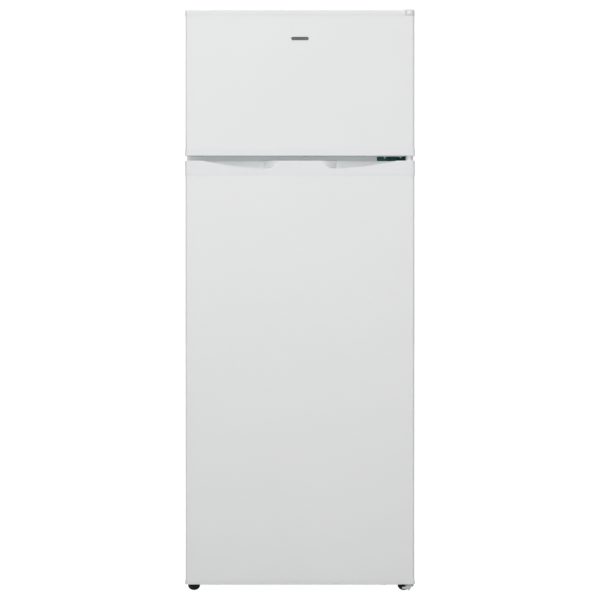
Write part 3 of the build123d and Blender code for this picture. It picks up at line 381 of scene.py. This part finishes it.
def remodel(node, width=0.0008, segments=2, angle=30.0, name=None, edit=None, profile=0.5):
    """The CAD piece again with clean faces and rounded edges, as moulded or folded parts have."""
    bm = bmesh.new()
    bm.from_mesh(NODES[node].data)
    bmesh.ops.remove_doubles(bm, verts=bm.verts, dist=4e-6)
    bmesh.ops.dissolve_limit(bm, angle_limit=math.radians(0.6), verts=bm.verts, edges=bm.edges)
    if edit:
        edit(bm)
    if width:
        lim = math.radians(angle)
        sharp = [e for e in bm.edges if len(e.link_faces) == 2 and e.calc_face_angle(0.0) > lim]
        wide = [e for e in sharp if room(e) > 2.6 * width]
        round_edges(bm, wide, width, segments, profile)
        thin = min(0.0002, width)
        if thin < width:
            lim = math.radians(52)
            sharp = [e for e in bm.edges if len(e.link_faces) == 2 and e.calc_face_angle(0.0) > lim]
            round_edges(bm, [e for e in sharp if room(e) > 2.6 * thin], thin, 2, profile)
    me = bpy.data.meshes.new(name or node + "_made")
    bm.to_mesh(me)
    bm.free()
    finish_shading(me)
    o = place(name or node + "_made", me, BODY[node], SLOT[node], nodes=(node,))
    weight_normals(o)
    return o


def join_meshes(name, parts):
    """One mesh from several bmesh-made meshes."""
    bm = bmesh.new()
    for me in parts:
        bm.from_mesh(me)
        bpy.data.meshes.remove(me)
    out = bpy.data.meshes.new(name)
    bm.to_mesh(out)
    bm.free()
    return out


def lathe(profile, segments=48, axis="Z", origin=(0, 0, 0), closed=False):
    """Turned mesh from (radius, height) points about an axis through origin."""
    bm = bmesh.new()
    rings = []
    for r, h in profile:
        if r < 1e-7:
            rings.append([bm.verts.new((0, 0, h))])
        else:
            rings.append(
                [bm.verts.new((r * math.cos(2 * math.pi * i / segments), r * math.sin(2 * math.pi * i / segments), h)) for i in range(segments)]
            )
    pairs = list(zip(rings, rings[1:])) + ([(rings[-1], rings[0])] if closed else [])
    for lo, hi in pairs:
        for i in range(segments):
            j = (i + 1) % segments
            quad = [lo[i % len(lo)], lo[j % len(lo)], hi[j % len(hi)], hi[i % len(hi)]]
            quad = [v for k, v in enumerate(quad) if v not in quad[:k]]
            if len(quad) > 2:
                bm.faces.new(quad)
    rot = {"Z": Matrix(), "Y": Matrix.Rotation(math.radians(90), 4, "X"), "X": Matrix.Rotation(math.radians(90), 4, "Y"),
           "-Y": Matrix.Rotation(math.radians(90), 4, "X") @ Matrix.Scale(1, 4)}[axis]
    bmesh.ops.transform(bm, matrix=Matrix.Translation(origin) @ rot, verts=bm.verts)
    bmesh.ops.recalc_face_normals(bm, faces=bm.faces)
    me = bpy.data.meshes.new("lathe")
    bm.to_mesh(me)
    bm.free()
    return me


# ------------------------------------------------------------------ the pieces, rebuilt

ROUND = {
    "outer_shell": (0.0012, 3),
    "fridge_liner": (0.0022, 3),
    "freezer_liner": (0.0022, 3),
    "centre_rail": (0.0008, 2),
    "base_pan": (0.0008, 2),
    "compressor_niche_panel": (0.0006, 2),
    "back_panel": (0.0003, 2),
    "top_hinge": (0.0004, 2),
    "top_hinge_cover": (0.0006, 3),
    "middle_hinge": (0.00035, 2),
    "bottom_hinge": (0.0005, 2),
    "cabinet_screws": (0.0004, 2),
    "compressor_base": (0.0006, 2),
    "mains_cord_gland": (0.0008, 3),
    "compressor": (0.0025, 4),
    "compressor_grommets": (0.0008, 3),
    "start_relay_cover": (0.0018, 3),
    "drip_tray": (0.0007, 3),
    "drain_tube": (0.0005, 2),
    "condenser_coil": (0.0, 1),
    "condenser_wires": (0.0, 1),
    "condenser_brackets": (0.0006, 2),
    "refrigerant_pipes": (0.0, 1),
    "shelf_glass": (0.0008, 3),
    "shelf_trims": (0.0012, 3),
    "thermostat_housing": (0.0028, 4),
    "thermostat": (0.0006, 2),
    "lamp_lens": (0.0010, 3),
    "lamp_bulb": (0.0, 1),
    "thermostat_knob": (0.0007, 3),
    "door_switch_plunger": (0.0009, 3),
    "crisper_drawer": (0.0008, 3),
    "freezer_wire_shelf": (0.0, 1),
    "freezer_door_panel": (0.0002, 2),
    "freezer_door_top_cap": (0.0004, 3),
    "freezer_door_bottom_cap": (0.0004, 3),
    "freezer_door_liner": (0.0024, 3),
    "freezer_door_gasket": (0.0009, 3),
    "freezer_door_bushings": (0.0004, 2),
    "hinge_nose_cap": (0.0002, 2),
    "freezer_door_bins": (0.0009, 3),
    "badge": (0.0004, 3),
    "fridge_door_panel": (0.0002, 2),
    "fridge_door_top_cap": (0.0004, 3),
    "fridge_door_bottom_cap": (0.0004, 3),
    "fridge_door_liner": (0.0024, 3),
    "fridge_door_gasket": (0.0009, 3),
    "fridge_door_bushings": (0.0004, 2),
    "fridge_door_bins": (0.0009, 3),
    "bottle_bin": (0.0009, 3),
    "egg_tray": (0.0009, 3),
    "left_foot": (0.0005, 2),
    "right_foot": (0.0005, 2),
    "left_roller": (0.0006, 2),
    "right_roller": (0.0006, 2),
}
def lean_underside(bm):
    """The underside of the freezer door rises slightly towards the cabinet, as draft in the moulding."""
    for v in bm.verts:
        if v.co.z < 1.05005:
            v.co.z = 1.048 + 0.3 * (v.co.z - 1.048)
    for v in bm.verts:
        if v.co.z < 1.0485 and v.co.y > -0.2825:
            v.co.z += 0.0036 * min(1.0, (v.co.y + 0.2825) / 0.0435)


EDITS = {"freezer_door_bottom_cap": lean_underside}
MADE = {}
for node, (w, seg) in ROUND.items():
    MADE[node] = remodel(node, w, seg, edit=EDITS.get(node))

# the middle hinge's own screws are passivated like the hinge
screws = MADE["cabinet_screws"].data
screws.materials.append(M["teal_steel"])
for f in screws.polygons:
    if 1.02 < f.center.z < 1.06:
        f.material_index = 1

# ------------------------------------------------------------------ details added in mesh


def box_of(node):
    lo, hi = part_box(node)
    return Vector(lo), Vector(hi)


def pill(length, width, height, along, centre, normal_axis="Y", rings=5, segs=20):
    """Pressed bead: a long oval crowned along its normal. along is 'X' or 'Z'."""
    bm = bmesh.new()
    half = length / 2 - width / 2
    rows = []
    for k in range(rings + 1):
        t = k / rings
        r = (width / 2) * math.cos(t * math.pi / 2) ** 0.8 if k < rings else 0.0
        h = height * math.sin(t * math.pi / 2) ** 1.2
        row = []
        for i in range(segs):
            a = 2 * math.pi * i / segs
            u = (half if math.cos(a) >= 0 else -half) + r * math.cos(a)
            w = r * math.sin(a)
            row.append((u, w, h))
        rows.append(row)
    vs = []
    for row in rows:
        vs.append([bm.verts.new((u, h, w) if along == "X" else (w, h, u)) for u, w, h in row])
    for lo, hi in zip(vs, vs[1:]):
        for i in range(segs):
            j = (i + 1) % segs
            bm.faces.new((lo[i], lo[j], hi[j], hi[i]))
    bmesh.ops.remove_doubles(bm, verts=bm.verts, dist=1e-6)
    bmesh.ops.translate(bm, vec=centre, verts=bm.verts)
    bmesh.ops.recalc_face_normals(bm, faces=bm.faces)
    for f in bm.faces:
        f.smooth = True
    me = bpy.data.meshes.new("bead")
    bm.to_mesh(me)
    bm.free()
    return me


lo, hi = box_of("back_panel")
beads = [pill(0.46, 0.012, 0.0016, "X", (0, hi.y - 0.00005, z)) for z in (0.262, 0.292, 1.322, 1.350)]
beads += [pill(1.0, 0.010, 0.0014, "Z", (x, hi.y - 0.00005, 0.80)) for x in (-0.262, 0.262)]
place("back_panel_beads", join_meshes("back_panel_beads", beads), "cabinet", "galvanised_steel")


def lettering(name, text, size, loc, body, mat, turn=0.0, depth=0.00012):
    """Generic scale figure facing -Y, as a thin raised mesh."""
    c = bpy.data.curves.new(name + "_c", "FONT")
    c.body = text
    c.size = size
    c.align_x = "CENTER"
    c.align_y = "CENTER"
    c.extrude = depth
    t = bpy.data.objects.new(name + "_t", c)
    me = bpy.data.meshes.new_from_object(t)
    bpy.data.objects.remove(t)
    me.transform(Matrix.Translation(loc) @ Matrix.Rotation(turn, 4, "Y") @ Matrix.Rotation(math.radians(90), 4, "X"))
    me.name = name
    return place(name, me, body, mat)


m = Mat("printed_grey", (0.20, 0.24, 0.28), 0.5)
m.tint(m.noise(300, 2), (0.18, 0.22, 0.26), (0.23, 0.27, 0.31))
m.gloss(m.noise(200, 2), 0.45, 0.6)
M["printed_grey"] = m.m
klo, khi = box_of("thermostat_knob")
centre = (klo + khi) / 2
radius = (khi.x - klo.x) / 2
hlo, hhi = box_of("thermostat_housing")
for k in range(6):
    a = math.radians(-135 + 54 * k)
    x = centre.x + math.sin(a) * radius * 0.70
    z = centre.z + math.cos(a) * radius * 0.70
    lettering("dial_figure_%d" % k, str(k), radius * 0.32, (x, klo.y + 0.00398, z), "thermostat_dial", "printed_grey", a)

# weld bead round the compressor can, under its lip
clo, chi = box_of("compressor")
can_x, can_y = -0.040, 0.176
bead = []
for i in range(97):
    a = 2 * math.pi * i / 96
    wob = 0.00025 * noise.noise(Vector((math.cos(a) * 9, math.sin(a) * 9, 0.3)))
    bead.append((0.0722 + wob, a))
bm = bmesh.new()
rows = []
for r, a in bead[:-1]:
    row = []
    for j in range(8):
        b = 2 * math.pi * j / 8
        rr = r + 0.0013 * math.cos(b)
        row.append(bm.verts.new((can_x + rr * math.cos(a), can_y + rr * math.sin(a), 0.1024 + 0.0011 * math.sin(b))))
    rows.append(row)
for i, row in enumerate(rows):
    nxt = rows[(i + 1) % len(rows)]
    for j in range(8):
        bm.faces.new((row[j], row[(j + 1) % 8], nxt[(j + 1) % 8], nxt[j]))
bmesh.ops.recalc_face_normals(bm, faces=bm.faces)
for f in bm.faces:
    f.smooth = True
me = bpy.data.meshes.new("can_weld_bead")
bm.to_mesh(me)
bm.free()
place("can_weld_bead", me, "cabinet", "black_enamel")


# ------------------------------------------------------------------ stage, light, camera


def stage_plane():
    """Pale sweep of paper, lit from below like a light table."""
    me = bpy.data.meshes.new("floor")
    n = 30.0
    me.from_pydata([(-n, -n, 0), (n, -n, 0), (n, n, 0), (-n, n, 0)], [], [(0, 1, 2, 3)])
    o = bpy.data.objects.new("floor", me)
    scene.collection.objects.link(o)
    f = Mat("floor_paper", (0.40, 0.40, 0.40), 0.9, Specular_IOR_Level=0.1)
    f.tint(f.noise(1.5, 2), (0.395, 0.395, 0.395), (0.405, 0.405, 0.405))
    f.b.inputs["Emission Color"].default_value = (1, 1, 1, 1)
    path = f.new("ShaderNodeLightPath")
    f.link(f.remap(path.outputs["Is Camera Ray"], 0.0, 1.0, FLOOR, 0.95), f.b.inputs["Emission Strength"])
    me.materials.append(f.m)


stage_plane()


def area(name, loc, aim, size, power, color=(1, 1, 1)):
    data = bpy.data.lights.new(name, "AREA")
    data.shape = "RECTANGLE"
    data.size, data.size_y = size
    data.energy = power
    data.color = color
    o = bpy.data.objects.new(name, data)
    scene.collection.objects.link(o)
    o.location = loc
    o.rotation_euler = (Vector(aim) - Vector(loc)).to_track_quat("-Z", "Y").to_euler()
    o.visible_camera = False
    return o


area("key", (-0.9, -2.5, 2.8), (-0.15, -0.28, 1.3), (1.5, 1.1), KEY)
area("top", (0, -1.3, 3.5), (0, -1.2, 0), (2.4, 1.6), TOP)
fill = area("fill", (0, -2.6, 0.925), (0, -0.285, 1.06), (2.0, 0.16), FILL)
fill.visible_glossy = False
area("back_left", (-2.6, 3.0, 2.4), (0, 0, 0.7), (1.8, 1.8), 34)
area("back_right", (2.8, 2.8, 2.0), (0, 0, 0.7), (1.8, 1.8), 22)

world = bpy.data.worlds.new("studio")
scene.world = world
world.use_nodes = True
wt = world.node_tree
wt.nodes.clear()


def wnode(kind, **inputs):
    n = wt.nodes.new(kind)
    for k, v in inputs.items():
        n.inputs[int(k[1:])].default_value = v
    return n


def wmath(op, a, b):
    n = wt.nodes.new("ShaderNodeMath")
    n.operation = op
    for i, v in enumerate((a, b)):
        if isinstance(v, (int, float)):
            n.inputs[i].default_value = v
        else:
            wt.links.new(v, n.inputs[i])
    return n.outputs[0]


# soft box overhead, dimmer towards the horizon and to the sides
wo = wt.nodes.new("ShaderNodeOutputWorld")
mix = wt.nodes.new("ShaderNodeMixShader")
lp = wt.nodes.new("ShaderNodeLightPath")
tc = wt.nodes.new("ShaderNodeTexCoord")
sep = wt.nodes.new("ShaderNodeSeparateXYZ")
wt.links.new(tc.outputs["Generated"], sep.inputs[0])
up = wmath("MAXIMUM", sep.outputs["Z"], 0.0)
up2 = wmath("MULTIPLY", up, up)
side = wmath("ABSOLUTE", sep.outputs["X"], 0.0)
base = wmath("SUBTRACT", SKY_LOW, wmath("MULTIPLY", side, SKY_SIDE))
level = wmath("ADD", base, wmath("MULTIPLY", up2, SKY_TOP))
bg_cam = wnode("ShaderNodeBackground", _0=(1, 1, 1, 1), _1=1.05)
bg_light = wnode("ShaderNodeBackground", _0=(1.0, 1.0, 1.0, 1))
wt.links.new(level, bg_light.inputs[1])
wt.links.new(lp.outputs["Is Camera Ray"], mix.inputs[0])
wt.links.new(bg_light.outputs[0], mix.inputs[1])
wt.links.new(bg_cam.outputs[0], mix.inputs[2])
wt.links.new(mix.outputs[0], wo.inputs[0])

cam_data = bpy.data.cameras.new("camera")
cam_data.sensor_width = 36.0
cam_data.lens = 137.94
cam_data.clip_end = 100.0
cam = bpy.data.objects.new("camera", cam_data)
scene.collection.objects.link(cam)
cam.location = (0.0, -0.285 - 5.5, 0.7029)
cam.rotation_euler = (math.radians(90), 0, 0)
scene.camera = cam
scene.view_settings.view_transform = "Standard"
scene.view_settings.look = "None"
